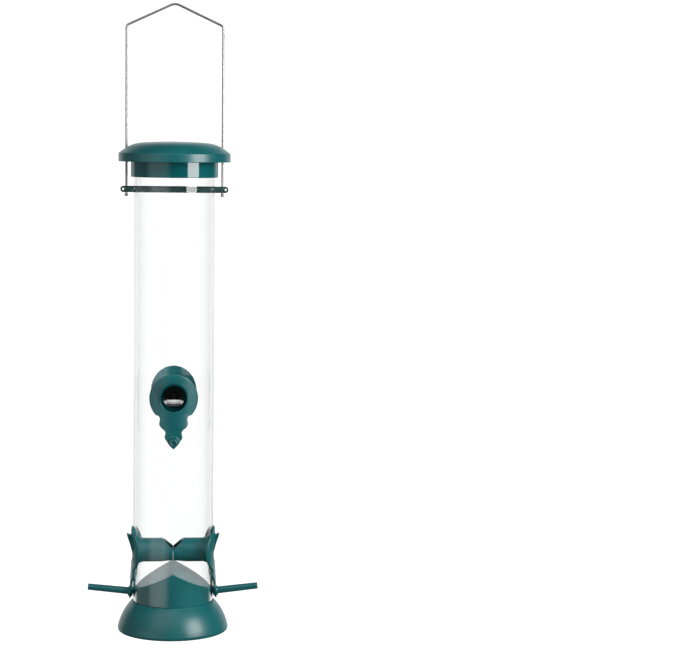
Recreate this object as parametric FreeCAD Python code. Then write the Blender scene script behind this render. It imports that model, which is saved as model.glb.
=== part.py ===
"""Hanging tube bird feeder: clear seed tube, four feeding ports with perches,
slide-up lid on a wire hanger, a bell-shaped base and a seed deflector.

Millimetres. Z is up, the origin is the middle of the flat underside of the base.
The upper ports face -Y (front) and +Y (back), the lower ports -X (left) and +X (right).
"""
import FreeCAD, Part
import math
import os

V = FreeCAD.Vector

# ---- seed tube ----
TUBE_OUTER_R = 31.75
TUBE_WALL = 1.5
TUBE_INNER_R = TUBE_OUTER_R - TUBE_WALL
TUBE_BOTTOM_Z = 8.2
TUBE_TOP_Z = 380.5

# ---- lid ----
LID_RIM_R = 43.9
LID_RIM_BOTTOM_Z = 372.7
LID_TOP_Z = 388.6
LID_WALL = 2.0
LID_OUTSIDE = [
    (0.0, LID_TOP_Z),
    (16.0, 388.3),
    (28.0, 387.5),
    (33.0, 386.2),
    (38.4, 383.5),
    (LID_RIM_R, 379.3),
]
SKIRT_OUTER_R = 34.3
SKIRT_INNER_R = TUBE_OUTER_R + 0.4
SKIRT_BOTTOM_Z = 360.7
LID_STOP_INNER_R = 29.0
LID_STOP_GAP = 0.3
WIRE_SLOT_WIDTH = 3.2
WIRE_SLOT_LENGTH = 11.6

# ---- wire hanger and the bar it is hung from ----
WIRE_R = 0.95
LEG_X = 37.6
SHOULDER_Z = 478.5
ARM_RISE_DEG = 25.0
SHOULDER_BEND_R = 3.0
APEX_BEND_R = 8.0
BAR_Z = 351.1
BAR_R = 2.6
BAR_HALF_LENGTH = 42.4
BAR_END_EYE_X = 40.1
BAR_END_EYE_R = 0.8
LEG_BORE_R = WIRE_R + 0.05
WIRE_FOOT_R = 1.5
WIRE_FOOT_DROP = 0.8

# ---- feeding ports ----
UPPER_PORT_Z = 189.3
LOWER_PORT_Z = 64.3
SPOUT_R = 9.5
SPOUT_WALL = 1.3
SPOUT_COLLAR_R = 11.0
SCOOP_ROOT_R = 9.3
SCOOP_END_R = 8.7
SCOOP_START_X = 8.4
SCOOP_LIP_Z = 1.9
SPOUT_END_X = 0.3
BAFFLE_THICK = 1.5
BAFFLE_DROP = 3.9
FLANGE_R = 19.0
FLANGE_JOIN_Z = -13.0
FLANGE_PROFILE_OUT = [(33.0, 19.0), (33.5, 16.0), (33.5, -12.0), (34.2, -23.0), (35.0, -40.0)]
FLANGE_PROFILE_IN = [(33.4, -40.0), (32.5, -25.0), (31.85, -15.0), (31.85, 19.0)]
TAIL_HALF_OUTLINE = [
    (10.9, -14.8),
    (10.8, -16.9),
    (11.2, -19.4),
    (9.8, -22.4),
    (7.1, -24.8),
    (6.3, -26.8),
    (7.0, -29.7),
    (5.7, -32.5),
    (3.4, -35.9),
]
TAIL_TIP_Z = -39.2
TRUMPET_ROOT_X = 24.0
TRUMPET_OUT = [
    (TRUMPET_ROOT_X, SPOUT_R),
    (28.0, SPOUT_COLLAR_R),
    (31.9, SPOUT_COLLAR_R),
    (33.5, 12.2),
    (38.0, 14.0),
]
TRUMPET_IN = [
    (TRUMPET_ROOT_X, SPOUT_R - SPOUT_WALL),
    (28.5, 9.7),
    (32.5, 10.3),
    (38.0, 12.6),
]
MOUTH_CURVE = [
    (34.8, -17.0),
    (33.7, -13.0),
    (32.7, -9.0),
    (32.1, -4.0),
    (32.3, 0.0),
    (34.1, 6.5),
    (36.8, 13.0),
    (37.6, 17.0),
]

# ---- perches ----
PERCH_RISE_DEG = 6.2
PERCH_FACE_X = 35.6
PERCH_DROP = 33.2
PERCH_END_X = 67.5
PERCH_ROOT_R = 2.85
PERCH_TIP_R = 2.55
PERCH_CUP_R = 1.5
PERCH_CUP_DEPTH = 1.2
PERCH_PIN_R = 2.2
PERCH_HOLE_R = 2.3
PERCH_BOSS_R = 4.0
PERCH_PIN_END_X = 25.5

# ---- screws that draw opposite ports together ----
SCREW_SHANK_R = 1.45
SCREW_HOLE_R = 1.5
SCREW_HEAD_R = 3.0
SCREW_HEAD_H = 2.0
SCREW_HEAD_ROUNDING = 0.7
SCREW_BOSS_R = 3.2
SCREW_BOSS_LENGTH = 4.6
SCREW_CROSS_WIDTH = 0.9
SCREW_CROSS_LENGTH = 3.6
SCREW_CROSS_DEPTH = 1.1

# ---- base and seed deflector ----
BELL_OUTSIDE = [
    (32.6, 23.6),
    (35.1, 21.0),
    (37.8, 17.4),
    (39.8, 14.0),
    (41.4, 10.6),
    (42.9, 6.6),
    (43.9, 2.4),
    (43.6, 0.8),
    (42.7, 0.0),
]
BELL_INSIDE = [
    (41.1, 0.0),
    (41.7, 2.4),
    (40.5, 7.2),
    (38.4, 11.9),
    (36.0, 15.9),
    (33.9, 18.4),
]
COLLAR_INNER_R = TUBE_OUTER_R + 0.05
COLLAR_OUTER_R = 33.9
COLLAR_TOP_Z = 23.6
GROOVE_FLOOR_Z = 8.0
GROOVE_FLOOR_THICK = 2.0
PLUG_OUTER_R = TUBE_INNER_R - 0.15
PLUG_WALL = 2.0
PLUG_SEAT_R = PLUG_OUTER_R + 0.05
PLUG_LIP_R = 33.4
PLUG_LIP_Z = 4.2
PLUG_LIP_GAP = 0.05
RIDGE_Z = 50.1
ROOF_SLOPE_DEG = 27.0

HOLE_CLEARANCE = 0.1
BORE_START_X = 20.0
REACH = 60.0


def polygon_face(points):
    """Flat face from corner points, closed back to the first one."""
    return Part.Face(Part.makePolygon(points + [points[0]]))


def side_slab(points_xz, half_width):
    """Slab with an outline drawn in the XZ plane, as thick in Y as twice the half width."""
    face = polygon_face([V(x, -half_width, z) for x, z in points_xz])
    return face.extrude(V(0, 2 * half_width, 0))


def turned(points_rz):
    """Body turned about the Z axis from an outline of (radius, height)."""
    face = polygon_face([V(r, 0, z) for r, z in points_rz])
    return face.revolve(V(0, 0, 0), V(0, 0, 1), 360)


def turned_about_x(points_xr):
    """Body turned about the X axis from an outline of (length, radius)."""
    face = polygon_face([V(x, 0, r) for x, r in points_xr])
    return face.revolve(V(0, 0, 0), V(1, 0, 0), 360)


def tube_along_z(outer_r, inner_r, bottom, top):
    """Plain round tube standing on the Z axis."""
    outside = Part.makeCylinder(outer_r, top - bottom, V(0, 0, bottom))
    bore = Part.makeCylinder(inner_r, top - bottom + 2, V(0, 0, bottom - 1))
    return outside.cut(bore)


def placed(shape, height, turn_deg):
    """Copy lifted to a height and turned about the Z axis."""
    copy = shape.copy()
    copy.translate(V(0, 0, height))
    copy.rotate(V(0, 0, 0), V(0, 0, 1), turn_deg)
    return copy


# ---------------------------------------------------------------- seed tube
def perch_axis_point(x):
    """Point of a perch's sloping axis at a distance from the tube's middle."""
    rise = (x - PERCH_FACE_X) * math.tan(math.radians(PERCH_RISE_DEG))
    return V(x, 0, -PERCH_DROP + rise)


def along_perch(radius_in, radius_out, x_in, x_out):
    """Round or tapered bar lying on the sloping perch axis."""
    start = perch_axis_point(x_in)
    run = perch_axis_point(x_out) - start
    if radius_in == radius_out:
        return Part.makeCylinder(radius_in, run.Length, start, run)
    return Part.makeCone(radius_in, radius_out, run.Length, start, run)


def seed_tube():
    tube = tube_along_z(TUBE_OUTER_R, TUBE_INNER_R, TUBE_BOTTOM_Z, TUBE_TOP_Z)
    spout_hole_r = SPOUT_COLLAR_R + HOLE_CLEARANCE
    spout_hole = Part.makeCylinder(spout_hole_r, REACH, V(BORE_START_X, 0, 0), V(1, 0, 0))
    perch_hole = along_perch(PERCH_HOLE_R, PERCH_HOLE_R, BORE_START_X, REACH)
    for height, turns in ((UPPER_PORT_Z, (90, 270)), (LOWER_PORT_Z, (0, 180))):
        for turn in turns:
            tube = tube.cut(placed(spout_hole, height, turn))
            tube = tube.cut(placed(perch_hole, height, turn))
    bar_hole = Part.makeCylinder(BAR_R + HOLE_CLEARANCE, 2 * REACH, V(-REACH, 0, BAR_Z), V(1, 0, 0))
    return tube.cut(bar_hole)


# ---------------------------------------------------------------- lid
def wire_slot(side):
    """Round-ended slot, long in Y, that lets one hanger leg through the lid."""
    half_run = (WIRE_SLOT_LENGTH - WIRE_SLOT_WIDTH) / 2
    low_z = LID_RIM_BOTTOM_Z
    height = LID_TOP_Z - low_z
    middle = Part.makeBox(
        WIRE_SLOT_WIDTH, 2 * half_run, height,
        V(side * LEG_X - WIRE_SLOT_WIDTH / 2, -half_run, low_z))
    ends = [
        Part.makeCylinder(WIRE_SLOT_WIDTH / 2, height, V(side * LEG_X, y, low_z))
        for y in (-half_run, half_run)
    ]
    return middle.multiFuse(ends)


def lid():
    """Cap with a hollow rim, a skirt around the tube and a stop ring on its end."""
    inside = [(r, z - LID_WALL) for r, z in LID_OUTSIDE[:-1]]
    rim_inner_r = LID_RIM_R - LID_WALL
    inside.append((rim_inner_r, LID_OUTSIDE[-1][1] - LID_WALL / 2))
    inside.append((rim_inner_r, LID_RIM_BOTTOM_Z))
    outline = LID_OUTSIDE + [(LID_RIM_R, LID_RIM_BOTTOM_Z)] + list(reversed(inside))
    cap = turned(outline)
    under_cap_z = LID_OUTSIDE[2][1] - LID_WALL
    skirt = tube_along_z(SKIRT_OUTER_R, SKIRT_INNER_R, SKIRT_BOTTOM_Z, under_cap_z - 1)
    stop_z = TUBE_TOP_Z + LID_STOP_GAP
    stop = tube_along_z(SKIRT_INNER_R + 1, LID_STOP_INNER_R, stop_z, under_cap_z)
    body = cap.multiFuse([skirt, stop]).removeSplitter()
    for side in (-1, 1):
        body = body.cut(wire_slot(side))
    return body


# ---------------------------------------------------------------- hanger
def rounded_path(corners, bend_radii):
    """Line in the XZ plane through corner points, each inner corner bent to its radius."""
    edges = []
    start = corners[0]
    for before, corner, after, radius in zip(corners, corners[1:], corners[2:], bend_radii):
        back = (before - corner).normalize()
        ahead = (after - corner).normalize()
        half_angle = back.getAngle(ahead) / 2
        trim = radius / math.tan(half_angle)
        arc_start = corner + back * trim
        arc_end = corner + ahead * trim
        towards_centre = (back + ahead).normalize()
        centre = corner + towards_centre * (radius / math.sin(half_angle))
        arc_middle = centre - towards_centre * radius
        edges.append(Part.makeLine(start, arc_start))
        edges.append(Part.Arc(arc_start, arc_middle, arc_end).toShape())
        start = arc_end
    edges.append(Part.makeLine(start, corners[-1]))
    return Part.Wire(edges)


def hanger_wire():
    """One steel wire: two legs, two shoulders, a rounded peak and a headed foot on each leg."""
    foot_z = BAR_Z - BAR_R - WIRE_FOOT_DROP
    peak_z = SHOULDER_Z + LEG_X * math.tan(math.radians(ARM_RISE_DEG))
    corners = [
        V(-LEG_X, 0, foot_z),
        V(-LEG_X, 0, SHOULDER_Z),
        V(0, 0, peak_z),
        V(LEG_X, 0, SHOULDER_Z),
        V(LEG_X, 0, foot_z),
    ]
    path = rounded_path(corners, [SHOULDER_BEND_R, APEX_BEND_R, SHOULDER_BEND_R])
    section = Part.Wire(Part.makeCircle(WIRE_R, corners[0], V(0, 0, 1)))
    wire = path.makePipeShell([section], True, False)
    feet = [Part.makeSphere(WIRE_FOOT_R, V(x, 0, foot_z - WIRE_FOOT_R / 2)) for x in (-LEG_X, LEG_X)]
    return wire.multiFuse(feet)


def crossbar():
    """Round-ended bar through the tube, bored for the two legs, with an eye near each end."""
    straight = BAR_HALF_LENGTH - BAR_R
    bar = Part.makeCylinder(BAR_R, 2 * straight, V(-straight, 0, BAR_Z), V(1, 0, 0))
    ends = [Part.makeSphere(BAR_R, V(x, 0, BAR_Z)) for x in (-straight, straight)]
    bar = bar.multiFuse(ends)
    for side in (-1, 1):
        leg_bore = Part.makeCylinder(LEG_BORE_R, 4 * BAR_R, V(side * LEG_X, 0, BAR_Z - 2 * BAR_R))
        eye = Part.makeCylinder(
            BAR_END_EYE_R, 4 * BAR_R, V(side * BAR_END_EYE_X, -2 * BAR_R, BAR_Z), V(0, 1, 0))
        bar = bar.cut(leg_bore).cut(eye)
    return bar


# ---------------------------------------------------------------- feeding ports
def flange_outline():
    """Round flange running into a scalloped tail, drawn in the YZ plane."""
    join_y = math.sqrt(FLANGE_R ** 2 - FLANGE_JOIN_Z ** 2)
    left_join = V(0, -join_y, FLANGE_JOIN_Z)
    right_join = V(0, join_y, FLANGE_JOIN_Z)
    round_part = Part.Arc(left_join, V(0, 0, FLANGE_R), right_join).toShape()
    tip = V(0, 0, TAIL_TIP_Z)
    right_side = [V(0, y, z) for y, z in TAIL_HALF_OUTLINE]
    left_side = [V(0, -y, z) for y, z in reversed(TAIL_HALF_OUTLINE)]
    edges = [round_part]
    for points in ([right_join] + right_side + [tip], [tip] + left_side + [left_join]):
        scallops = Part.BSplineCurve()
        scallops.interpolate(points)
        edges.append(scallops.toShape())
    return Part.Wire(edges)


def flange():
    """The flange plate, bent around the tube, its tail standing slightly off the wall."""
    plate = Part.Face(flange_outline())
    plate.translate(V(TUBE_OUTER_R / 2, 0, 0))
    block = plate.extrude(V(REACH, 0, 0))
    return block.common(turned(FLANGE_PROFILE_OUT + FLANGE_PROFILE_IN))


def trumpet_mouth():
    """Flared mouth whose upper lip stands out as a hood."""
    root_x = TRUMPET_OUT[0][0]
    end_x = TRUMPET_OUT[-1][0]
    flare = turned_about_x([(root_x, 0)] + TRUMPET_OUT + [(end_x, 0)])
    beyond = MOUTH_CURVE + [(REACH, MOUTH_CURVE[-1][1]), (REACH, MOUTH_CURVE[0][1])]
    return flare.cut(side_slab(beyond, REACH))


def spout():
    """Pipe from the tube wall to the middle, its inner end cut open upwards as a scoop."""
    pipe_length = TRUMPET_ROOT_X + SPOUT_WALL - SCOOP_START_X
    pipe = Part.makeCylinder(SPOUT_R, pipe_length, V(SCOOP_START_X, 0, 0), V(1, 0, 0))
    scoop_length = SCOOP_START_X - SPOUT_END_X
    scoop = Part.makeCone(SCOOP_END_R, SCOOP_ROOT_R, scoop_length, V(SPOUT_END_X, 0, 0), V(1, 0, 0))
    slope = (SPOUT_R - SCOOP_LIP_Z) / (SCOOP_START_X - SPOUT_END_X)
    top_z = SPOUT_R + SPOUT_WALL
    top_x = SPOUT_END_X + (top_z - SCOOP_LIP_Z) / slope
    low_x = SPOUT_END_X - SPOUT_WALL
    low_z = SCOOP_LIP_Z - SPOUT_WALL * slope
    open_top = side_slab([(low_x, low_z), (top_x, top_z), (low_x, top_z)], REACH)
    return pipe.fuse(scoop).cut(open_top)


def port(takes_screw):
    """One feeding port facing +X with its mouth centred on the X axis."""
    body = flange().multiFuse([trumpet_mouth(), spout()])
    boss = along_perch(PERCH_BOSS_R, PERCH_BOSS_R, TUBE_OUTER_R, PERCH_FACE_X)
    boss = boss.cut(Part.makeCylinder(TUBE_OUTER_R + HOLE_CLEARANCE, 2 * REACH, V(0, 0, -REACH)))
    body = body.fuse(boss)
    inner_r = TRUMPET_IN[0][1]
    mouth_end_x = TRUMPET_IN[-1][0]
    bore = turned_about_x([(-BORE_START_X, 0), (-BORE_START_X, inner_r)] + TRUMPET_IN + [(mouth_end_x, 0)])
    body = body.cut(bore)
    body = body.cut(along_perch(PERCH_HOLE_R, PERCH_HOLE_R, BORE_START_X, REACH))
    baffle_r = (SPOUT_R + inner_r) / 2
    baffle = Part.makeCylinder(baffle_r, BAFFLE_THICK, V(SCOOP_START_X, 0, 0), V(1, 0, 0))
    under = Part.makeBox(REACH, 2 * REACH, REACH, V(0, -REACH, -BAFFLE_DROP - REACH))
    body = body.fuse(baffle.cut(under))
    if takes_screw:
        screw_boss = Part.makeCylinder(
            SCREW_BOSS_R, SCREW_BOSS_LENGTH, V(SCOOP_START_X - SCREW_BOSS_LENGTH, 0, 0), V(1, 0, 0))
        body = body.fuse(screw_boss)
    screw_hole = Part.makeCylinder(SCREW_HOLE_R, BORE_START_X, V(0, 0, 0), V(1, 0, 0))
    return body.cut(screw_hole).removeSplitter()


def circle_at(cylinder, x):
    """The round end edge, at one x, of a cylinder lying along X."""
    return min(cylinder.Edges, key=lambda edge: abs(edge.BoundBox.XMin - x) + abs(edge.BoundBox.XMax - x))


def tie_screw():
    """Pan-head screw on the X axis, head behind the -X port's baffle, tip in the +X port's boss."""
    head_x = -SCOOP_START_X - BAFFLE_THICK
    tip_x = SCOOP_START_X + BAFFLE_THICK
    shank = Part.makeCylinder(SCREW_SHANK_R, tip_x - head_x, V(head_x, 0, 0), V(1, 0, 0))
    head = Part.makeCylinder(SCREW_HEAD_R, SCREW_HEAD_H, V(head_x - SCREW_HEAD_H, 0, 0), V(1, 0, 0))
    head = head.makeFillet(SCREW_HEAD_ROUNDING, [circle_at(head, head_x - SCREW_HEAD_H)])
    screw = head.fuse(shank)
    recess_x = head_x - SCREW_HEAD_H - 1
    depth = SCREW_CROSS_DEPTH + 1
    half_w = SCREW_CROSS_WIDTH / 2
    half_l = SCREW_CROSS_LENGTH / 2
    upright = Part.makeBox(depth, SCREW_CROSS_WIDTH, SCREW_CROSS_LENGTH, V(recess_x, -half_w, -half_l))
    level = Part.makeBox(depth, SCREW_CROSS_LENGTH, SCREW_CROSS_WIDTH, V(recess_x, -half_l, -half_w))
    return screw.cut(upright).cut(level)


def perch():
    """Sloping perch with a shouldered pin that goes through the port's tail and the tube wall."""
    rod = along_perch(PERCH_ROOT_R, PERCH_TIP_R, PERCH_FACE_X, PERCH_END_X)
    pin = along_perch(PERCH_PIN_R, PERCH_PIN_R, PERCH_PIN_END_X, PERCH_FACE_X + PERCH_PIN_R)
    cup = along_perch(PERCH_CUP_R, PERCH_CUP_R, PERCH_END_X - PERCH_CUP_DEPTH, REACH + BORE_START_X)
    return rod.fuse(pin).cut(cup)


# ---------------------------------------------------------------- base and seed deflector
def roofed_plug(radius, ridge_z, bottom_z):
    """Round plug under a roof that falls to the left and right from a front-to-back ridge."""
    plug = Part.makeCylinder(radius, ridge_z - bottom_z, V(0, 0, bottom_z))
    fall = REACH * math.tan(math.radians(ROOF_SLOPE_DEG))
    roof = side_slab(
        [(-REACH, -REACH), (-REACH, ridge_z - fall), (0, ridge_z),
         (REACH, ridge_z - fall), (REACH, -REACH)], REACH)
    return plug.common(roof)


def base():
    """Bell-shaped base with a collar and floor that take the tube's lower end."""
    floor_bottom_z = GROOVE_FLOOR_Z - GROOVE_FLOOR_THICK
    bell_outline = (
        [(COLLAR_INNER_R, COLLAR_TOP_Z)] + BELL_OUTSIDE + BELL_INSIDE
        + [(COLLAR_OUTER_R, floor_bottom_z),
           (PLUG_SEAT_R, floor_bottom_z),
           (PLUG_SEAT_R, GROOVE_FLOOR_Z),
           (COLLAR_INNER_R, GROOVE_FLOOR_Z)])
    return turned(bell_outline)


def seed_deflector():
    """Hollow roofed plug in the tube's lower end; its lip carries the base."""
    plug = roofed_plug(PLUG_OUTER_R, RIDGE_Z, PLUG_LIP_Z)
    lip_top_z = GROOVE_FLOOR_Z - GROOVE_FLOOR_THICK - PLUG_LIP_GAP
    lip = Part.makeCylinder(PLUG_LIP_R, lip_top_z - PLUG_LIP_Z, V(0, 0, PLUG_LIP_Z))
    roof_drop = PLUG_WALL / math.cos(math.radians(ROOF_SLOPE_DEG))
    hollow = roofed_plug(PLUG_OUTER_R - PLUG_WALL, RIDGE_Z - roof_drop, 0)
    body = plug.fuse(lip).cut(hollow)
    pin_hole = along_perch(PERCH_HOLE_R, PERCH_HOLE_R, BORE_START_X, COLLAR_INNER_R)
    for turn in (0, 180):
        body = body.cut(placed(pin_hole, LOWER_PORT_Z, turn))
    return body.removeSplitter()


# ---------------------------------------------------------------- write every sub-part
os.makedirs("parts", exist_ok=True)
plain_port = port(False)
screw_port = port(True)
one_perch = perch()
one_screw = tie_screw()

shapes = {
    "lid": lid(),
    "hanger_wire": hanger_wire(),
    "crossbar": crossbar(),
    "seed_tube": seed_tube(),
    "base": base(),
    "seed_deflector": seed_deflector(),
    "upper_front_port": placed(plain_port, UPPER_PORT_Z, 270),
    "upper_back_port": placed(screw_port, UPPER_PORT_Z, 90),
    "lower_left_port": placed(plain_port, LOWER_PORT_Z, 180),
    "lower_right_port": placed(screw_port, LOWER_PORT_Z, 0),
    "upper_front_perch": placed(one_perch, UPPER_PORT_Z, 270),
    "upper_back_perch": placed(one_perch, UPPER_PORT_Z, 90),
    "lower_left_perch": placed(one_perch, LOWER_PORT_Z, 180),
    "lower_right_perch": placed(one_perch, LOWER_PORT_Z, 0),
    "upper_tie_screw": placed(one_screw, UPPER_PORT_Z, 90),
    "lower_tie_screw": placed(one_screw, LOWER_PORT_Z, 0),
}
for node, shape in shapes.items():
    print(node, shape.isValid(), len(shape.Solids), round(shape.Volume, 1), shape.BoundBox)
    shape.exportStep("parts/" + node + ".step")
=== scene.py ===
"""Hanging tube bird feeder: the finished pieces, materials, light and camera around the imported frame.

Metres, Z up. The front is -Y, and the crossbar and the lower ports lie along X.
"""
import bpy
import bmesh
import math
from mathutils import Matrix, Vector


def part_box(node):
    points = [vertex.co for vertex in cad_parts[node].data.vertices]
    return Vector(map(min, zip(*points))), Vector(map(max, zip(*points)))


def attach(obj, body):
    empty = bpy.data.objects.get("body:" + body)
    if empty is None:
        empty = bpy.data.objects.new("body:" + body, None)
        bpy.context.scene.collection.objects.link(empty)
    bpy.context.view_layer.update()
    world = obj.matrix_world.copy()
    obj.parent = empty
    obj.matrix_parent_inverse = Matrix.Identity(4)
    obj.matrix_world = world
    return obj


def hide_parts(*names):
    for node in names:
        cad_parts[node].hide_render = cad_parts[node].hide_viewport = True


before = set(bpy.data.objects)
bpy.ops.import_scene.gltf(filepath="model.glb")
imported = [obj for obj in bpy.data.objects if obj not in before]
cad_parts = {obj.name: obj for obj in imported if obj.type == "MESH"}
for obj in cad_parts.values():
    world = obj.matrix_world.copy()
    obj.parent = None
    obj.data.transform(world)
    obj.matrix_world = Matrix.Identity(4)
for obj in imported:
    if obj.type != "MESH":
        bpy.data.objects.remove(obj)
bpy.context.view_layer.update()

MM = 0.001
TOUCH = 0.01 * MM           # places closer than this are the same place
TURNS = 144                 # steps round a turned body


# ---------------------------------------------------------------- modelling by hand
def deselect_all():
    """Leave edit mode and select nothing."""
    if bpy.context.mode != "OBJECT":
        bpy.ops.object.mode_set(mode="OBJECT")
    bpy.ops.object.select_all(action="DESELECT")


def edit(piece):
    """Open one piece alone in edit mode."""
    deselect_all()
    bpy.context.view_layer.objects.active = piece
    piece.select_set(True)
    bpy.ops.object.mode_set(mode="EDIT")


def named(name):
    """Close edit mode and name the piece that has just been made."""
    bpy.ops.object.mode_set(mode="OBJECT")
    piece = bpy.context.active_object
    piece.name = name
    piece.data.name = name
    return piece


def pick(kind, test):
    """In edit mode, select only the vertices, edges or faces that pass a test."""
    bpy.ops.mesh.select_mode(type=kind)
    bpy.ops.mesh.select_all(action="DESELECT")
    data = bpy.context.edit_object.data
    mesh = bmesh.from_edit_mesh(data)
    parts = {"VERT": mesh.verts, "EDGE": mesh.edges, "FACE": mesh.faces}[kind]
    for part in parts:
        if test(part):
            part.select_set(True)
    mesh.select_flush_mode()
    bmesh.update_edit_mesh(data)


def near(point):
    """Test for a vertex that lies at a point."""
    return lambda vertex: (vertex.co - point).length < TOUCH


def settle(piece):
    """Put a piece's place and turn into its mesh, so that its object sits at the origin."""
    deselect_all()
    bpy.context.view_layer.objects.active = piece
    piece.select_set(True)
    bpy.ops.object.transform_apply(location=True, rotation=True, scale=True)


def apply_modifier(piece, kind, **settings):
    """Add one modifier with its settings and apply it."""
    deselect_all()
    bpy.context.view_layer.objects.active = piece
    piece.select_set(True)
    modifier = piece.modifiers.new(kind.title(), kind)
    for setting, value in settings.items():
        setattr(modifier, setting, value)
    bpy.ops.object.modifier_apply(modifier=modifier.name)


def carve(piece, cutter, operation="DIFFERENCE"):
    """Cut a cutter away from a piece, or join it on, and throw the cutter away."""
    settle(cutter)
    apply_modifier(piece, "BOOLEAN", operation=operation, object=cutter, solver="EXACT")
    bpy.data.objects.remove(cutter)


def smooth(piece, angle_deg=32):
    """Shade a piece smooth, but for its crisp edges, with broad faces kept true beside small roundings."""
    deselect_all()
    bpy.context.view_layer.objects.active = piece
    piece.select_set(True)
    bpy.ops.object.shade_smooth_by_angle(angle=math.radians(angle_deg))
    apply_modifier(piece, "WEIGHTED_NORMAL", keep_sharp=True, weight=50)


def copy_of(piece, name):
    """A copy with a mesh of its own."""
    copy = piece.copy()
    copy.data = piece.data.copy()
    copy.name = name
    copy.data.name = name
    bpy.context.collection.objects.link(copy)
    return copy


def round_bar(radius, start, end, sides=48):
    """Round bar between two points, used for pegs and for cutting bores."""
    run = end - start
    deselect_all()
    bpy.ops.mesh.primitive_cylinder_add(
        vertices=sides, radius=radius, depth=run.length, location=(start + end) / 2,
        rotation=run.to_track_quat("Z", "Y").to_euler())
    return bpy.context.active_object


def turned(name, outline, closed, turns=TURNS):
    """Body turned about the Z axis from (radius, height, corner rounding) in millimetres.

    The outline is a wire pulled out of one corner, point by point, then spun.
    """
    points = [Vector((r, 0, z)) * MM for r, z, _ in outline]
    deselect_all()
    bpy.ops.mesh.primitive_plane_add(size=MM, location=points[0])
    bpy.ops.object.transform_apply(location=True, rotation=True, scale=True)
    bpy.ops.object.mode_set(mode="EDIT")
    bpy.ops.mesh.select_mode(type="VERT")
    bpy.ops.mesh.select_all(action="SELECT")
    bpy.ops.mesh.merge(type="CENTER")
    for before, after in zip(points, points[1:]):
        bpy.ops.mesh.extrude_vertices_move(TRANSFORM_OT_translate={"value": after - before})
    if closed:
        pick("VERT", lambda v: near(points[0])(v) or near(points[-1])(v))
        bpy.ops.mesh.edge_face_add()
    for point, (_, _, rounding) in zip(points, outline):
        if rounding:
            pick("VERT", near(point))
            bpy.ops.mesh.bevel(offset=rounding * MM, segments=4, affect="VERTICES")
    bpy.ops.mesh.select_mode(type="VERT")
    bpy.ops.mesh.select_all(action="SELECT")
    bpy.ops.mesh.spin(steps=turns, angle=math.tau, center=(0, 0, 0), axis=(0, 0, 1))
    bpy.ops.mesh.select_all(action="SELECT")
    bpy.ops.mesh.remove_doubles(threshold=0.001 * MM)
    bpy.ops.mesh.normals_make_consistent(inside=False)
    return named(name)


# ---------------------------------------------------------------- lid
lid_low, lid_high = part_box("lid")
wire_low, wire_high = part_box("hanger_wire")
RIM_BOTTOM = lid_high.z - 15.9 * MM
WIRE_R = 0.95 * MM
FOOT_R = 1.5 * MM
LEG_X = wire_high.x - FOOT_R


def lid_cap():
    """Domed cap, hollow rim, skirt and stop ring turned in one, with a slot for each hanger leg."""
    top = lid_high.z / MM
    rim_r = lid_high.x / MM
    rim_inner_r = rim_r - 2
    rim_bottom = RIM_BOTTOM / MM
    rim_top = top - 9.3
    shoulder_r = 38.4
    skirt_r = 34.3
    skirt_bore_r = 32.15
    skirt_bottom = lid_low.z / MM
    stop_r = 29.0
    stop_bottom = top - 7.8
    outline = [
        (0, top, 0),
        (8, top - 0.08, 0),
        (16, top - 0.35, 0),
        (23, top - 0.75, 0),
        (28, top - 1.2, 1.5),
        (33, top - 2.4, 2.0),
        (shoulder_r, top - 5.1, 2.5),
        (rim_r, rim_top, 0.5),
        (rim_r, rim_bottom, 0.45),
        (rim_inner_r, rim_bottom, 0.3),
        (rim_inner_r, rim_top - 1, 1.0),
        (shoulder_r, top - 7.1, 0.8),
        (skirt_r, top - 5.1, 0.4),
        (skirt_r, skirt_bottom, 0.5),
        (skirt_bore_r, skirt_bottom, 0.4),
        (skirt_bore_r, stop_bottom, 0),
        (stop_r, stop_bottom, 0.2),
        (stop_r, top - 3.5, 0.3),
        (16, top - 2.4, 0),
        (0, top - 2, 0),
    ]
    cap = turned("lid_cap", outline, closed=False)
    slot_r = 1.6 * MM
    slot_reach = 4.2 * MM
    for side in (-1, 1):
        under_rim = Vector((side * LEG_X, 0, RIM_BOTTOM - 2 * MM))
        over_lid = Vector((side * LEG_X, 0, lid_high.z + 2 * MM))
        slot = round_bar(slot_r, under_rim, over_lid)
        settle(slot)
        edit(slot)
        for end in (-1, 1):
            pick("VERT", lambda v: v.co.y * end > TOUCH)
            bpy.ops.transform.translate(value=(0, end * slot_reach, 0))
        bpy.ops.object.mode_set(mode="OBJECT")
        carve(cap, slot)
    smooth(cap)
    return cap


# ---------------------------------------------------------------- hanger
def pull(run):
    """Extrude the chosen ring along a straight run."""
    bpy.ops.mesh.extrude_edges_move(TRANSFORM_OT_translate={"value": run})


def ring_scale(factor, centre):
    """Widen or narrow the chosen ring about the leg that it closes."""
    bpy.ops.transform.resize(value=(factor, factor, 1), center_override=centre)


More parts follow.
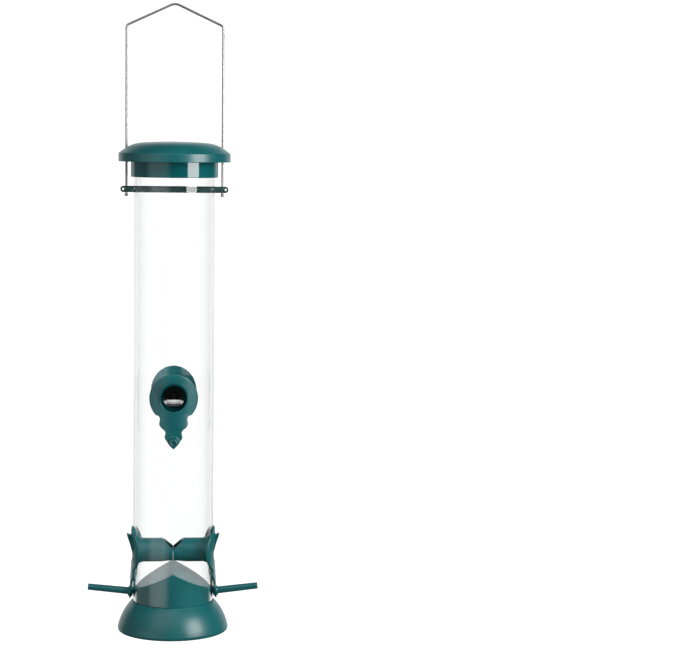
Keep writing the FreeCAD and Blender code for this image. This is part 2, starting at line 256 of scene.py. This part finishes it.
def steel_hanger():
    """One wire: a leg pulled straight up, a shoulder, a rising arm and a rounded peak, then down again.

    Each foot is upset into a small stop, given as (drop in millimetres, change of width) down the leg.
    """
    foot_shape = ((0.25, 1.4), (0.5, 1.12), (0.8, 1.0), (0.5, 0.88), (0.2, 0.6))
    rise = math.radians(25)
    shoulder_r = 3 * MM
    peak_r = 8 * MM
    shoulder_z = 478.5 * MM
    shoulder_turn = math.pi / 2 - rise
    shoulder_trim = shoulder_r * math.tan(shoulder_turn / 2)
    peak_trim = peak_r * math.tan(rise)
    arm = LEG_X / math.cos(rise) - shoulder_trim - peak_trim
    foot_z = wire_low.z + sum(drop for drop, _ in foot_shape) * MM
    bend_z = shoulder_z - shoulder_trim
    peak_z = shoulder_z + LEG_X * math.tan(rise)
    leg = bend_z - foot_z
    arm_run = Vector((math.cos(rise), 0, math.sin(rise))) * arm
    deselect_all()
    bpy.ops.mesh.primitive_circle_add(vertices=20, radius=WIRE_R, location=(-LEG_X, 0, foot_z))
    bpy.ops.object.transform_apply(location=True, rotation=True, scale=True)
    bpy.ops.object.mode_set(mode="EDIT")
    bpy.ops.mesh.select_mode(type="VERT")
    bpy.ops.mesh.select_all(action="SELECT")
    pull((0, 0, leg))
    bpy.ops.mesh.spin(
        steps=10, angle=shoulder_turn, center=(-LEG_X + shoulder_r, 0, bend_z), axis=(0, -1, 0))
    pull(arm_run)
    bpy.ops.mesh.spin(
        steps=14, angle=2 * rise, center=(0, 0, peak_z - peak_r / math.cos(rise)), axis=(0, -1, 0))
    pull((arm_run.x, 0, -arm_run.z))
    bpy.ops.mesh.spin(
        steps=10, angle=shoulder_turn, center=(LEG_X - shoulder_r, 0, bend_z), axis=(0, -1, 0))
    pull((0, 0, -leg))
    for side in (-1, 1):
        pick("VERT", lambda v: v.co.x * side > 0 and abs(v.co.z - foot_z) < TOUCH)
        for drop, factor in foot_shape:
            pull((0, 0, -drop * MM))
            ring_scale(factor, (side * LEG_X, 0, 0))
        bpy.ops.mesh.edge_face_add()
    bpy.ops.mesh.select_all(action="SELECT")
    bpy.ops.mesh.normals_make_consistent(inside=False)
    wire = named("steel_hanger")
    smooth(wire, angle_deg=50)
    return wire


def lid_crossbar():
    """Round-ended bar, drawn out of a ball, bored for the legs and with an eye near each end."""
    low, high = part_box("crossbar")
    radius = (high.z - low.z) / 2
    middle_z = (high.z + low.z) / 2
    leg_bore_r = 1.0 * MM
    eye_r = 0.8 * MM
    eye_x = high.x - 2.3 * MM
    deselect_all()
    bpy.ops.mesh.primitive_uv_sphere_add(
        segments=40, ring_count=24, radius=radius, location=(0, 0, 0), rotation=(0, math.pi / 2, 0))
    bpy.ops.object.transform_apply(location=True, rotation=True, scale=True)
    bpy.ops.object.mode_set(mode="EDIT")
    for side in (-1, 1):
        pick("VERT", lambda v: v.co.x * side > TOUCH)
        bpy.ops.transform.translate(value=(side * (high.x - radius), 0, 0))
    bpy.ops.mesh.select_all(action="SELECT")
    bpy.ops.transform.translate(value=(0, 0, middle_z))
    bar = named("lid_crossbar")
    for side in (-1, 1):
        under, over = (Vector((side * LEG_X, 0, z)) for z in (low.z - MM, high.z + MM))
        carve(bar, round_bar(leg_bore_r, under, over, sides=24))
        before, behind = (Vector((side * eye_x, y, middle_z)) for y in (low.y - MM, high.y + MM))
        carve(bar, round_bar(eye_r, before, behind, sides=24))
    smooth(bar)
    return bar


# ---------------------------------------------------------------- seed tube
upper_hood_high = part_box("upper_front_port")[1]
lower_hood_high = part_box("lower_left_port")[1]
HOOD_R = lower_hood_high.y  # a hood is round about the middle of its mouth
LOWER_Z = lower_hood_high.z - HOOD_R
STOREY = upper_hood_high.z - lower_hood_high.z
PORT_SIDES = {              # the way each mouth faces along X and Y, and its height
    "upper_front": (0, -1, LOWER_Z + STOREY),
    "upper_back": (0, 1, LOWER_Z + STOREY),
    "lower_left": (-1, 0, LOWER_Z),
    "lower_right": (1, 0, LOWER_Z),
}
BORE_R = 8.2 * MM
PIN_HOLE_R = 2.3 * MM
PERCH_COLLAR = 35.6 * MM    # reach of the shoulder that stops a perch against its port
PERCH_DROP = 33.2 * MM      # from a mouth's middle down to its perch's shoulder
PERCH_RISE = math.tan(math.radians(6.2))


def perch_point(side, reach):
    """Point of a perch's sloping axis at a distance from the tube's middle."""
    x, y, mouth_z = side
    z = mouth_z - PERCH_DROP + (reach - PERCH_COLLAR) * PERCH_RISE
    return Vector((x * reach, y * reach, z))


def clear_tube():
    """Thin-walled tube with rounded ends, and a hole for every spout, perch pin and the crossbar."""
    low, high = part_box("seed_tube")
    bottom, top = low.z / MM, high.z / MM
    outer_r = high.x / MM
    inner_r = outer_r - 1.5
    rounding = 0.4
    corners = ((outer_r, bottom), (outer_r, top), (inner_r, top), (inner_r, bottom))
    tube = turned("clear_tube", [(r, z, rounding) for r, z in corners], closed=True)
    spout_hole_r = 11.1 * MM
    bar_hole_r = 2.7 * MM
    inside, outside = 20 * MM, 45 * MM
    for side in PORT_SIDES.values():
        x, y, mouth_z = side
        start, end = (Vector((x * reach, y * reach, mouth_z)) for reach in (inside, outside))
        carve(tube, round_bar(spout_hole_r, start, end, sides=72))
        start, end = (perch_point(side, reach) for reach in (inside, outside))
        carve(tube, round_bar(PIN_HOLE_R, start, end, sides=32))
    bar_low, bar_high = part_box("crossbar")
    bar_z = (bar_low.z + bar_high.z) / 2
    start, end = (Vector((x, 0, bar_z)) for x in (-outside, outside))
    carve(tube, round_bar(bar_hole_r, start, end, sides=32))
    smooth(tube, angle_deg=25)
    return tube


# ---------------------------------------------------------------- feeding ports and perches
def on_bore(point, side):
    """Whether a point of a lower port is on the wall of its straight bore."""
    off_axis = Vector((0, point.y, point.z - side[2])).length
    return abs(off_axis - BORE_R) < 0.08 * MM


def moulded_port(node, name):
    """Port with the soft edges and fillets of a moulding, worked from a merged copy of its solid.

    Its bore is drawn narrower towards the tube's middle, band by band, and the end of its scoop is drawn
    up to the middle.
    """
    bore_bands = 24
    band_length = 1 * MM
    widest, draft = 1.04, 0.185
    scoop_stretch = 0.22 * MM
    soft_edge = 0.32 * MM
    port = copy_of(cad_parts[node], name)
    port.parent = None
    port.matrix_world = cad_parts[node].matrix_world
    settle(port)
    edit(port)
    bpy.ops.mesh.select_all(action="SELECT")
    bpy.ops.mesh.remove_doubles(threshold=0.002 * MM)
    side = PORT_SIDES[node.removesuffix("_port")]
    axis = Vector((0, 0, side[2]))
    for band in range(bore_bands):
        reach = (band + 0.5) * band_length
        pick("VERT", lambda v: abs(abs(v.co.x) - reach) <= band_length / 2 and on_bore(v.co, side))
        width = widest - draft * (1 - band / bore_bands)
        bpy.ops.transform.resize(value=(1, width, width), center_override=axis)
    pick("VERT", lambda v: abs(v.co.x) < 0.5 * MM)
    bpy.ops.transform.translate(value=(-side[0] * scoop_stretch, 0, 0))
    bpy.ops.object.mode_set(mode="OBJECT")
    apply_modifier(port, "REMESH", mode="VOXEL", voxel_size=soft_edge)
    apply_modifier(port, "SMOOTH", factor=0.5, iterations=4)
    apply_modifier(port, "DECIMATE", ratio=0.35)
    smooth(port, angle_deg=60)
    return port


def swung_copy(piece, name, quarter_turns, lift):
    """Copy of a piece swung about the tube's axis by quarter turns and lifted."""
    copy = copy_of(piece, name)
    copy.rotation_mode = "XYZ"
    copy.rotation_euler = (0, 0, quarter_turns * math.pi / 2)
    copy.location = (0, 0, lift)
    settle(copy)
    return copy


def perch_rod(name):
    """Tapering perch of the lower right port: pin, shoulder, rod with rounded lip and a cupped end."""
    side = PORT_SIDES["lower_right"]
    pin_end = perch_point(side, 25.5 * MM)
    tip = perch_point(side, 67.5 * MM)
    shoulder = (perch_point(side, PERCH_COLLAR) - pin_end).length / MM
    length = (tip - pin_end).length / MM
    cup_floor = length - 1.2
    pin_r = 2.2
    outline = [
        (0, 0, 0),
        (pin_r, 0, 0.5),
        (pin_r, shoulder, 0.1),
        (2.85, shoulder, 0.25),
        (2.8, shoulder + 4, 0),
        (2.68, shoulder + 18, 0),
        (2.55, length, 0.35),
        (1.6, length, 0.3),
        (1.35, cup_floor, 0.3),
        (0, cup_floor, 0),
    ]
    rod = turned(name, outline, closed=False, turns=48)
    rod.rotation_mode = "QUATERNION"
    rod.rotation_quaternion = (tip - pin_end).to_track_quat("Z", "Y")
    rod.location = pin_end
    settle(rod)
    smooth(rod, angle_deg=40)
    return rod


# ---------------------------------------------------------------- base and seed deflector
def feeder_base():
    """Bell-shaped foot with a collar and a floor that take the tube's lower end."""
    low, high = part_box("base")
    bottom, collar_top = low.z / MM, high.z / MM
    widest_r = high.x / MM
    tube_seat_r = 31.8
    neck_inner_r = 33.9
    floor_bore_r = 30.15
    floor_bottom, floor_top = 6.0, 8.0
    bell = turned("feeder_base", [
        (tube_seat_r, collar_top, 0.3),
        (32.7, collar_top, 0.4),
        (35.1, 21.0, 1.2),
        (37.8, 17.4, 1.5),
        (39.8, 14.0, 1.5),
        (41.4, 10.6, 1.5),
        (42.9, 6.6, 1.5),
        (widest_r, 2.4, 0.5),
        (43.6, 0.8, 0.4),
        (42.7, bottom, 0.4),
        (41.1, bottom, 0.3),
        (41.7, 2.4, 0.8),
        (40.5, 7.2, 1.5),
        (38.4, 11.9, 1.5),
        (36.0, 15.9, 1.0),
        (neck_inner_r, 18.4, 0.8),
        (neck_inner_r, floor_bottom, 0.4),
        (floor_bore_r, floor_bottom, 0.2),
        (floor_bore_r, floor_top, 0.3),
        (tube_seat_r, floor_top, 0),
    ], closed=True)
    smooth(bell, angle_deg=30)
    return bell


def roof_edge(edge):
    """The ridge, or an edge between a roof face and the plug's upright wall."""
    roofs = [face for face in edge.link_faces if 0.5 < face.normal.z < 0.95]
    walls = [face for face in edge.link_faces if abs(face.normal.z) < 0.1]
    on_ridge = len(roofs) == 2 and abs(edge.verts[0].co.x) < TOUCH
    return on_ridge or bool(roofs and walls)


def deflector_plug():
    """Hollow plug whose roof sheds seed to both lower ports, with a lip under the base's floor.

    A round blank is cut to a ridged roof, opened underneath and given its wall inwards.
    """
    low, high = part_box("seed_deflector")
    plug_r = 30.1 * MM
    wall = 2 * MM
    slope = math.radians(27)
    blank = 62 * MM
    deselect_all()
    bpy.ops.mesh.primitive_cylinder_add(
        vertices=TURNS, radius=plug_r, depth=blank, location=(0, 0, low.z + blank / 2), end_fill_type="NGON")
    bpy.ops.object.transform_apply(location=True, rotation=True, scale=True)
    bpy.ops.object.mode_set(mode="EDIT")
    for side in (-1, 1):
        bpy.ops.mesh.select_all(action="SELECT")
        bpy.ops.mesh.bisect(
            plane_co=(0, 0, high.z), plane_no=(side * math.sin(slope), 0, math.cos(slope)),
            use_fill=True, clear_outer=True)
    pick("FACE", lambda f: f.normal.z < -0.9)
    bpy.ops.mesh.delete(type="FACE")
    plug = named("deflector_plug")
    edit(plug)
    pick("EDGE", roof_edge)
    bpy.ops.mesh.bevel(offset=0.55 * MM, segments=3)
    bpy.ops.object.mode_set(mode="OBJECT")
    apply_modifier(plug, "SOLIDIFY", thickness=wall, offset=-1, use_even_offset=True)
    lip_bottom = low.z / MM
    lip_top = lip_bottom + 1.75
    lip_r = high.x / MM
    lip_inner_r = 29.0
    lip = turned("lip", [
        (lip_inner_r, lip_bottom + 0.2, 0),
        (lip_r, lip_bottom, 0.3),
        (lip_r, lip_top, 0.3),
        (lip_inner_r, lip_top, 0),
    ], closed=True)
    carve(plug, lip, "UNION")
    for place in ("lower_left", "lower_right"):
        start, end = (perch_point(PORT_SIDES[place], reach) for reach in (20 * MM, 31 * MM))
        carve(plug, round_bar(PIN_HOLE_R, start, end, sides=32))
    smooth(plug, angle_deg=30)
    return plug


# ---------------------------------------------------------------- materials
class Level:
    """A shader value that sums, multiplies and compares like a number."""

    def __init__(self, sheet, socket):
        self.sheet = sheet
        self.socket = socket

    def through(self, operation, first, second=0.0):
        """The level that one sum, product, comparison or the like gives."""
        node = self.sheet.node("ShaderNodeMath", {"operation": operation}, {0: first, 1: second})
        return Level(self.sheet, node.outputs["Value"])

    def __add__(self, other):
        return self.through("ADD", self, other)

    def __radd__(self, other):
        return self.through("ADD", other, self)

    def __sub__(self, other):
        return self.through("SUBTRACT", self, other)

    def __rsub__(self, other):
        return self.through("SUBTRACT", other, self)

    def __mul__(self, other):
        return self.through("MULTIPLY", self, other)

    def __rmul__(self, other):
        return self.through("MULTIPLY", other, self)

    def root(self):
        """The level's square root."""
        return self.through("SQRT", self)

    def size(self):
        """The level without its sign."""
        return self.through("ABSOLUTE", self)

    def __lt__(self, other):
        return self.through("LESS_THAN", self, other)


class Sheet:
    """A node tree being laid out: every node comes from one method."""

    def __init__(self, tree):
        self.tree = tree
        tree.nodes.clear()

    def node(self, kind, settings=None, sockets=None):
        """Add a node of a kind, with its settings first and then the values or links of its sockets."""
        made = self.tree.nodes.new(kind)
        for setting, value in (settings or {}).items():
            setattr(made, setting, value)
        for key, value in (sockets or {}).items():
            if isinstance(value, Level):
                value = value.socket
            if isinstance(value, bpy.types.NodeSocket):
                self.tree.links.new(value, made.inputs[key])
            else:
                made.inputs[key].default_value = value
        return made

    def place(self):
        """Where on the object a point is, in metres."""
        return self.node("ShaderNodeTexCoord").outputs["Object"]

    def along_axes(self, vector):
        """The X, Y and Z of a vector."""
        split = self.node("ShaderNodeSeparateXYZ", None, {"Vector": vector})
        return tuple(Level(self, split.outputs[axis]) for axis in "XYZ")

    def noise(self, scale, detail, rough, stretch=(1, 1, 1)):
        """Even noise around one half, its grain set by a scale per metre."""
        placed = self.node("ShaderNodeMapping", None, {"Vector": self.place(), "Scale": stretch})
        made = self.node(
            "ShaderNodeTexNoise", {"noise_dimensions": "3D"},
            {"Vector": placed.outputs["Vector"], "Scale": scale, "Detail": detail, "Roughness": rough})
        return Level(self, made.outputs["Fac"])

    def ramp(self, level, low, high, from_value=0.0, to_value=1.0):
        """Smooth step of a level between two thresholds."""
        made = self.node(
            "ShaderNodeMapRange", {"interpolation_type": "SMOOTHSTEP"},
            {"Value": level, "From Min": low, "From Max": high, "To Min": from_value, "To Max": to_value})
        return Level(self, made.outputs["Result"])

    def blend(self, level, first, second):
        """Mix two colours by a level."""
        made = self.node("ShaderNodeMix", {"data_type": "RGBA"}, {"Factor": level, 6: first, 7: second})
        return made.outputs[2]

    def bump(self, level, distance, strength):
        """Normal that a level raises, over a distance in metres."""
        made = self.node(
            "ShaderNodeBump", None, {"Height": level, "Distance": distance, "Strength": strength})
        return made.outputs["Normal"]


def new_material(name):
    """A material and the sheet to lay out its nodes on."""
    material = bpy.data.materials.new(name)
    material.use_nodes = True
    return material, Sheet(material.node_tree)


def show(sheet, shader):
    """Send a finished shader to the surface."""
    sheet.node("ShaderNodeOutputMaterial", None, {"Surface": shader})


GREEN_PALE = (0.0030, 0.088, 0.094, 1)
GREEN_DEEP = (0.0010, 0.066, 0.072, 1)
BAR_PALE = (0.026, 0.060, 0.058, 1)
BAR_DEEP = (0.018, 0.044, 0.043, 1)
# painted shade: the dark colour that stands for the shadow inside the mouth bores
BORE_PAINTED_SHADE = (0.0010, 0.020, 0.021, 1)
POLISHED = 0.07             # roughness of a face that a polished core leaves
DRAWN = (1, 1, 0.02)        # draws a pattern out along Z, as on drawn tube and wire


def inside_bores(sheet):
    """One inside the four mouth bores, which polished core pins leave glossy and where the colour is darkened
    as painted shade; zero on the rest of a port.

    The limit between the two runs within the thickness of the port's wall, and widens with it outwards.
    """
    spout_r = 9.1 * MM
    mouth_flare = 1.1 * MM
    blur = 0.2 * MM
    x, y, z = sheet.along_axes(sheet.place())
    found = 0.0
    for across, along, storey_z in ((x, y, LOWER_Z + STOREY), (y, x, LOWER_Z)):
        up = z - storey_z
        radius = (across * across + up * up).root()
        reach = along.size()
        limit = sheet.ramp(reach, 6 * MM, 12 * MM, BORE_R, spout_r)
        limit = limit + sheet.ramp(reach, 24 * MM, 28 * MM, 0.0, mouth_flare)
        found = found + sheet.ramp(radius - limit, blur, -blur)
    return found


def green_plastic(name, roughness, skirt_top=None, pale=GREEN_PALE, deep=GREEN_DEEP, bored=False):
    """Deep green moulded plastic: cloudy colour, a fine moulded grain and a slightly uneven satin.

    What is below skirt_top, or inside the mouth bores of a bored piece, is polished; inside the bores the
    colour is also darkened to paint in the shade of the hollow.
    """
    material, sheet = new_material(name)
    cloud = sheet.noise(scale=38, detail=4, rough=0.55)
    fleck = sheet.noise(scale=900, detail=2, rough=0.6)
    tone = sheet.ramp(cloud * 0.75 + fleck * 0.25, low=0.36, high=0.64)
    colour = sheet.blend(tone, deep, pale)
    grain = sheet.noise(scale=1500, detail=3, rough=0.6)
    ripple = sheet.noise(scale=70, detail=2, rough=0.5)
    sheen = roughness + (cloud - 0.5) * 0.10 + (fleck - 0.5) * 0.06
    if skirt_top is not None:
        _, _, height = sheet.along_axes(sheet.place())
        satin = sheet.ramp(height, skirt_top - 0.2 * MM, skirt_top)
        sheen = POLISHED + (sheen - POLISHED) * satin
        grain = grain * (0.12 + 0.88 * satin)
    if bored:
        bore = inside_bores(sheet)
        sheen = sheen * (1.0 - bore) + bore * POLISHED
        # Inside the bores the colour is darkened: painted shade for the dim hollow of each mouth.
        colour = sheet.blend(bore, colour, BORE_PAINTED_SHADE)
        grain = grain * (1.0 - bore)
        ripple = ripple * (1.0 - bore)
    normal = sheet.bump(grain * 0.5 + ripple * 0.35, distance=0.06 * MM, strength=0.55)
    skin = sheet.node("ShaderNodeBsdfPrincipled", None, {
        "Base Color": colour, "Roughness": sheen, "Normal": normal, "IOR": 1.5})
    show(sheet, skin.outputs["BSDF"])
    return material


def clear_plastic():
    """Clear drawn tube: like glass, with the faintest slow waves in its wall, and open to the lamps."""
    material, sheet = new_material("clear_plastic")
    draw_lines = sheet.noise(scale=60, detail=1, rough=0.4, stretch=DRAWN)
    normal = sheet.bump(draw_lines, distance=0.01 * MM, strength=0.3)
    glass = sheet.node("ShaderNodeBsdfPrincipled", None, {
        "Base Color": (0.985, 0.992, 0.99, 1), "Roughness": 0.0, "IOR": 1.49,
        "Transmission Weight": 1.0, "Normal": normal})
    open_air = sheet.node("ShaderNodeBsdfTransparent", None, {"Color": (0.93, 0.94, 0.94, 1)})
    lamp_ray = sheet.node("ShaderNodeLightPath").outputs["Is Shadow Ray"]
    mixed = sheet.node("ShaderNodeMixShader", None, {
        "Fac": lamp_ray, 1: glass.outputs["BSDF"], 2: open_air.outputs["BSDF"]})
    show(sheet, mixed.outputs["Shader"])
    return material


def drawn_wire(name, colour, roughness):
    """Drawn steel wire: faint lengthwise draw marks and slowly changing dullness."""
    material, sheet = new_material(name)
    patch = sheet.noise(scale=45, detail=2, rough=0.5)
    scratch = sheet.noise(scale=2600, detail=2, rough=0.6, stretch=DRAWN)
    dull = tuple(0.88 * part for part in colour[:3]) + (1,)
    tint = sheet.blend(sheet.ramp(patch * 0.8 + scratch * 0.2, low=0.3, high=0.7), dull, colour)
    sheen = roughness + (patch - 0.5) * 0.06
    normal = sheet.bump(scratch, distance=0.01 * MM, strength=0.15)
    metal = sheet.node("ShaderNodeBsdfPrincipled", None, {
        "Base Color": tint, "Metallic": 1.0, "Roughness": sheen, "Normal": normal})
    show(sheet, metal.outputs["BSDF"])
    return material


def finish_with(piece, material):
    """Give a new piece its material, as its only slot."""
    piece.data.materials.clear()
    piece.data.materials.append(material)


# ---------------------------------------------------------------- the pieces
satin_green = green_plastic("satin_green", roughness=0.33)
lid_green = green_plastic("lid_green", roughness=0.31, skirt_top=RIM_BOTTOM - 0.05 * MM)
bar_green = green_plastic("bar_green", roughness=0.22, pale=BAR_PALE, deep=BAR_DEEP)
port_green = green_plastic("port_green", roughness=0.29, bored=True)
plug_green = green_plastic("plug_green", roughness=0.24)
tube_clear = clear_plastic()
wire_steel = drawn_wire("wire_steel", colour=(0.36, 0.355, 0.35, 1), roughness=0.42)
# The screws' near-black colour is painted shade, standing for the shadow they sit in inside the ports.
screw_steel = drawn_wire("screw_steel", colour=(0.055, 0.055, 0.058, 1), roughness=0.34)

cap = lid_cap()
finish_with(cap, lid_green)
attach(cap, "lid")
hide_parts("lid")

hanger = steel_hanger()
finish_with(hanger, wire_steel)
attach(hanger, "hanger")
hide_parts("hanger_wire")

bar = lid_crossbar()
finish_with(bar, bar_green)
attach(bar, "hanger")
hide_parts("crossbar")

tube = clear_tube()
finish_with(tube, tube_clear)
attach(tube, "feeder")
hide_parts("seed_tube")

foot = feeder_base()
finish_with(foot, satin_green)
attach(foot, "feeder")
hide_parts("base")

plug = deflector_plug()
finish_with(plug, plug_green)
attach(plug, "feeder")
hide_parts("seed_deflector")

left_port = moulded_port("lower_left_port", "lower_left_mouthpiece")
right_port = moulded_port("lower_right_port", "lower_right_mouthpiece")
ports = {
    "lower_left": left_port,
    "lower_right": right_port,
    "upper_front": swung_copy(left_port, "upper_front_mouthpiece", quarter_turns=1, lift=STOREY),
    "upper_back": swung_copy(right_port, "upper_back_mouthpiece", quarter_turns=1, lift=STOREY),
}
right_perch = perch_rod("lower_right_rod")
perches = {
    "lower_right": right_perch,
    "lower_left": swung_copy(right_perch, "lower_left_rod", quarter_turns=2, lift=0),
    "upper_front": swung_copy(right_perch, "upper_front_rod", quarter_turns=3, lift=STOREY),
    "upper_back": swung_copy(right_perch, "upper_back_rod", quarter_turns=1, lift=STOREY),
}
for place in PORT_SIDES:
    finish_with(ports[place], port_green)
    finish_with(perches[place], satin_green)
    for piece, node in ((ports[place], place + "_port"), (perches[place], place + "_perch")):
        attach(piece, "feeder")
        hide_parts(node)

for node in ("upper_tie_screw", "lower_tie_screw"):
    for material_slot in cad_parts[node].material_slots:
        material_slot.material = screw_steel


# ---------------------------------------------------------------- floor, light and camera
def seen_directly(sheet):
    """One for what the eye sees, straight or through clear plastic; zero for light bounced off a piece."""
    path = sheet.node("ShaderNodeLightPath")
    bounced = Level(sheet, path.outputs["Diffuse Depth"]) + Level(sheet, path.outputs["Glossy Depth"])
    return bounced < 0.5


def pale_floor():
    """Round pale floor well below the hanging feeder, glowing faintly to stay as white as the backdrop."""
    floor_r = 1.8
    drop = 0.6
    deselect_all()
    bpy.ops.mesh.primitive_circle_add(vertices=96, radius=floor_r, fill_type="NGON", location=(0, 0, -drop))
    floor = bpy.context.active_object
    floor.name = "floor"
    material, sheet = new_material("floor_white")
    paint = sheet.node("ShaderNodeBsdfPrincipled", None, {
        "Base Color": (0.9, 0.9, 0.9, 1), "Roughness": 0.9,
        "Emission Color": (1, 1, 1, 1), "Emission Strength": 0.65})
    shade = sheet.node("ShaderNodeBsdfPrincipled", None, {
        "Base Color": (0.25, 0.25, 0.25, 1), "Roughness": 0.9})
    mixed = sheet.node("ShaderNodeMixShader", None, {
        "Fac": seen_directly(sheet), 1: shade.outputs["BSDF"], 2: paint.outputs["BSDF"]})
    show(sheet, mixed.outputs["Shader"])
    floor.data.materials.append(material)


def softbox(name, stand_point, aim_point, width, tall, radiance, mirrored):
    """Flat lamp standing at one point and facing another, hidden from the eye; gloss shows it if mirrored."""
    lamp = bpy.data.lights.new(name, "AREA")
    lamp.shape = "RECTANGLE"
    lamp.size = width
    lamp.size_y = tall
    lamp.energy = radiance * math.pi * width * tall
    stand = bpy.data.objects.new(name, lamp)
    stand.location = stand_point
    stand.rotation_mode = "QUATERNION"
    stand.rotation_quaternion = (Vector(aim_point) - Vector(stand_point)).to_track_quat("-Z", "Y")
    stand.visible_camera = False
    stand.visible_transmission = False
    stand.visible_glossy = mirrored
    bpy.context.collection.objects.link(stand)


def studio_world():
    """White all round for the eye; for the light on the feeder, a white backdrop in a dimmer room."""
    world = bpy.data.worlds.new("studio")
    bpy.context.scene.world = world
    world.use_nodes = True
    sheet = Sheet(world.node_tree)
    seen = seen_directly(sheet)
    x, y, z = sheet.along_axes(sheet.node("ShaderNodeTexCoord").outputs["Generated"])
    backdrop = sheet.ramp(y, 0.55, 0.80) * sheet.ramp(z, 0.65, 0.25, 0.3, 1.0)
    left_box = sheet.ramp(x * -0.69 + y * -0.72, 0.78, 0.98)
    left_wall = sheet.ramp(x * -1.0, 0.70, 0.98)
    tall_left = sheet.ramp(x * -0.30 + y * -0.55 + z * 0.78, 0.83, 0.97)
    below = sheet.ramp(z, -0.15, -0.6)
    walls = 0.07 + backdrop * 0.85 + left_box * 0.9 + left_wall * 0.2 + tall_left * 1.3
    room = walls * (1.0 - below * 0.8)
    white = 1.18
    level = room + seen * (white - room)
    sky = sheet.node("ShaderNodeBackground", None, {"Color": (1, 1, 1, 1), "Strength": level})
    sheet.node("ShaderNodeOutputWorld", None, {"Surface": sky.outputs["Background"]})


def studio_camera():
    """Long lens a little above the middle, looking slightly down and to the right of the feeder."""
    stand_point = (0, -1.6044, 0.39288)
    yaw, pitch, roll = (math.radians(degrees) for degrees in (4.973, 5.188, 0.679))
    ahead = Vector((math.sin(yaw) * math.cos(pitch), math.cos(yaw) * math.cos(pitch), -math.sin(pitch)))
    level_right = Vector((math.cos(yaw), -math.sin(yaw), 0))
    level_up = level_right.cross(ahead)
    right = level_right * math.cos(roll) + level_up * math.sin(roll)
    up = level_up * math.cos(roll) - level_right * math.sin(roll)
    lens = bpy.data.cameras.new("studio_camera")
    lens.lens = 104.46
    lens.sensor_width = 36
    camera = bpy.data.objects.new("studio_camera", lens)
    turn = Matrix((right, up, -ahead)).transposed()
    camera.matrix_world = Matrix.Translation(stand_point) @ turn.to_4x4()
    bpy.context.collection.objects.link(camera)
    bpy.context.scene.camera = camera


pale_floor()
softbox(
    "right_strip", stand_point=(0.919, -0.771, 0.61), aim_point=(0, 0, 0.61),
    width=0.672, tall=0.82, radiance=12, mirrored=True)
softbox(
    "upper_front", stand_point=(0.45, -0.90, 1.65), aim_point=(0, 0, 0.25),
    width=0.9, tall=0.9, radiance=5.0, mirrored=False)
studio_world()
studio_camera()
bpy.context.scene.view_settings.view_transform = "Standard"
